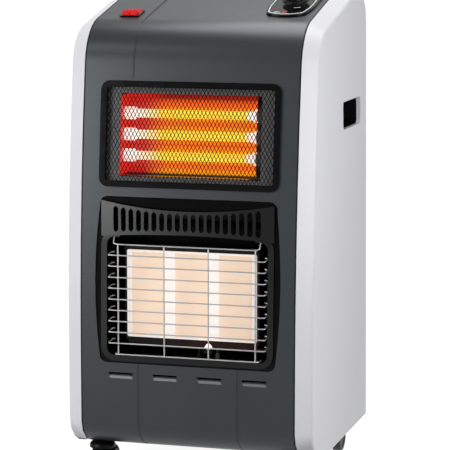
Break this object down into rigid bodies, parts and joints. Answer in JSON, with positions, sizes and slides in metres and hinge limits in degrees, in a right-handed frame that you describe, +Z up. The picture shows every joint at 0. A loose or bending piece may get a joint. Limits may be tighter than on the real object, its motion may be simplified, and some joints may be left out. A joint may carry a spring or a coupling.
{
  "type": "portable gas cabinet heater",
  "caption": "Upright cabinet heater on casters with a gas radiant burner behind a wire guard, electric quartz tubes above, a side-panelled bevelled body and controls on a sloping top.",
  "frame": {"origin": "middle of the footprint, on the floor under the wheels", "axes": "+Z up, the burner faces -Y, +X is to the right of someone facing the heater"},
  "size_m": [0.4, 0.4086, 0.796],
  "materials": {
    "pearl_paint": "satin pearl light grey paint",
    "slate_paint": "satin dark grey metallic paint",
    "black_plastic": "moulded black, satin",
    "black_metal": "black heat resistant paint",
    "bare_steel": "plain sheet steel and bright reflector",
    "chrome": "bright plated wire",
    "brass": "machined",
    "quartz": "clear quartz lit from inside",
    "glowing_coil": "resistance wire, glowing while in use",
    "white_ceramic": "matt white",
    "plaque_ceramic": "porous pale pink ceramic",
    "red_plastic": "translucent red, glossy",
    "black_rubber": "hard black tread"
  },
  "bodies": {
    "cabinet": {"front_panel": "slate_paint", "side_panel_left": "pearl_paint", "side_panel_right": "pearl_paint", "grip_cup_left": "black_plastic", "grip_cup_right": "black_plastic", "base_plate": "black_metal", "bulkhead": "bare_steel", "rear_rail": "black_metal", "upper_bezel": "black_plastic", "mesh_guard": "black_metal", "reflector": "bare_steel", "burner_surround": "black_metal", "burner_shield": "black_metal", "burner_housing": "black_metal", "plaque_gasket": "white_ceramic", "plaque_left": "plaque_ceramic", "plaque_centre": "plaque_ceramic", "plaque_right": "plaque_ceramic", "gas_manifold": "brass", "gas_pipe": "bare_steel", "wire_guard": "chrome", "pilot_burner": "brass", "thermocouple": "bare_steel", "ignition_electrode": "white_ceramic", "control_plate": "black_plastic", "gas_valve": "brass", "switch_housing": "black_plastic", "quartz_tube_upper": "quartz", "heating_coil_upper": "glowing_coil", "end_cap_upper_left": "white_ceramic", "end_cap_upper_right": "white_ceramic", "quartz_tube_middle": "quartz", "heating_coil_middle": "glowing_coil", "end_cap_middle_left": "white_ceramic", "end_cap_middle_right": "white_ceramic", "quartz_tube_lower": "quartz", "heating_coil_lower": "glowing_coil", "end_cap_lower_left": "white_ceramic", "end_cap_lower_right": "white_ceramic"},
    "back_cover": {"back_cover": "black_metal"},
    "spindle": {"valve_spindle": "bare_steel"},
    "knob": {"control_knob": "black_plastic"},
    "rocker_left": {"rocker_left": "red_plastic"},
    "rocker_right": {"rocker_right": "red_plastic"},
    "fork_front_left": {"caster_fork_front_left": "black_plastic"},
    "wheels_front_left": {"caster_wheels_front_left": "black_rubber"},
    "fork_front_right": {"caster_fork_front_right": "black_plastic"},
    "wheels_front_right": {"caster_wheels_front_right": "black_rubber"},
    "fork_rear_left": {"caster_fork_rear_left": "black_plastic"},
    "wheels_rear_left": {"caster_wheels_rear_left": "black_rubber"},
    "fork_rear_right": {"caster_fork_rear_right": "black_plastic"},
    "wheels_rear_right": {"caster_wheels_rear_right": "black_rubber"}
  },
  "joints": [
    {"name": "swivel_front_left", "type": "hinge", "parent": "cabinet", "child": "fork_front_left", "pos_m": [-0.157, -0.14974, 0.068], "axis": [0, 0, 1], "continuous": true},
    {"name": "roll_front_left", "type": "hinge", "parent": "fork_front_left", "child": "wheels_front_left", "pos_m": [-0.157, -0.13775, 0.025], "axis": [1, 0, 0], "continuous": true},
    {"name": "swivel_front_right", "type": "hinge", "parent": "cabinet", "child": "fork_front_right", "pos_m": [0.157, -0.14974, 0.068], "axis": [0, 0, 1], "continuous": true},
    {"name": "roll_front_right", "type": "hinge", "parent": "fork_front_right", "child": "wheels_front_right", "pos_m": [0.157, -0.13775, 0.025], "axis": [1, 0, 0], "continuous": true},
    {"name": "swivel_rear_left", "type": "hinge", "parent": "cabinet", "child": "fork_rear_left", "pos_m": [-0.157, 0.14625, 0.068], "axis": [0, 0, 1], "continuous": true},
    {"name": "roll_rear_left", "type": "hinge", "parent": "fork_rear_left", "child": "wheels_rear_left", "pos_m": [-0.157, 0.13426, 0.025], "axis": [1, 0, 0], "continuous": true},
    {"name": "swivel_rear_right", "type": "hinge", "parent": "cabinet", "child": "fork_rear_right", "pos_m": [0.157, 0.14625, 0.068], "axis": [0, 0, 1], "continuous": true},
    {"name": "roll_rear_right", "type": "hinge", "parent": "fork_rear_right", "child": "wheels_rear_right", "pos_m": [0.157, 0.13426, 0.025], "axis": [1, 0, 0], "continuous": true},
    {"name": "remove_back_cover", "type": "slide", "parent": "cabinet", "child": "back_cover", "axis": [0, 1, 0], "range_m": [0, 0.4]},
    {"name": "press_knob", "type": "slide", "parent": "cabinet", "child": "spindle", "axis": [0, 0.2284, -0.9736], "range_m": [0, 0.003], "stiffness_N_per_m": 1000, "springref_m": -0.006},
    {"name": "turn_knob", "type": "hinge", "parent": "spindle", "child": "knob", "pos_m": [0.13, -0.02575, 0.76034], "axis": [0, -0.2284, 0.9736], "range_deg": [0, 150]},
    {"name": "tip_rocker_left", "type": "hinge", "parent": "cabinet", "child": "rocker_left", "pos_m": [-0.1307, -0.08347, 0.74557], "axis": [1, 0, 0], "range_deg": [0, 22]},
    {"name": "tip_rocker_right", "type": "hinge", "parent": "cabinet", "child": "rocker_right", "pos_m": [-0.1173, -0.08347, 0.74557], "axis": [1, 0, 0], "range_deg": [0, 22]}
  ]
}
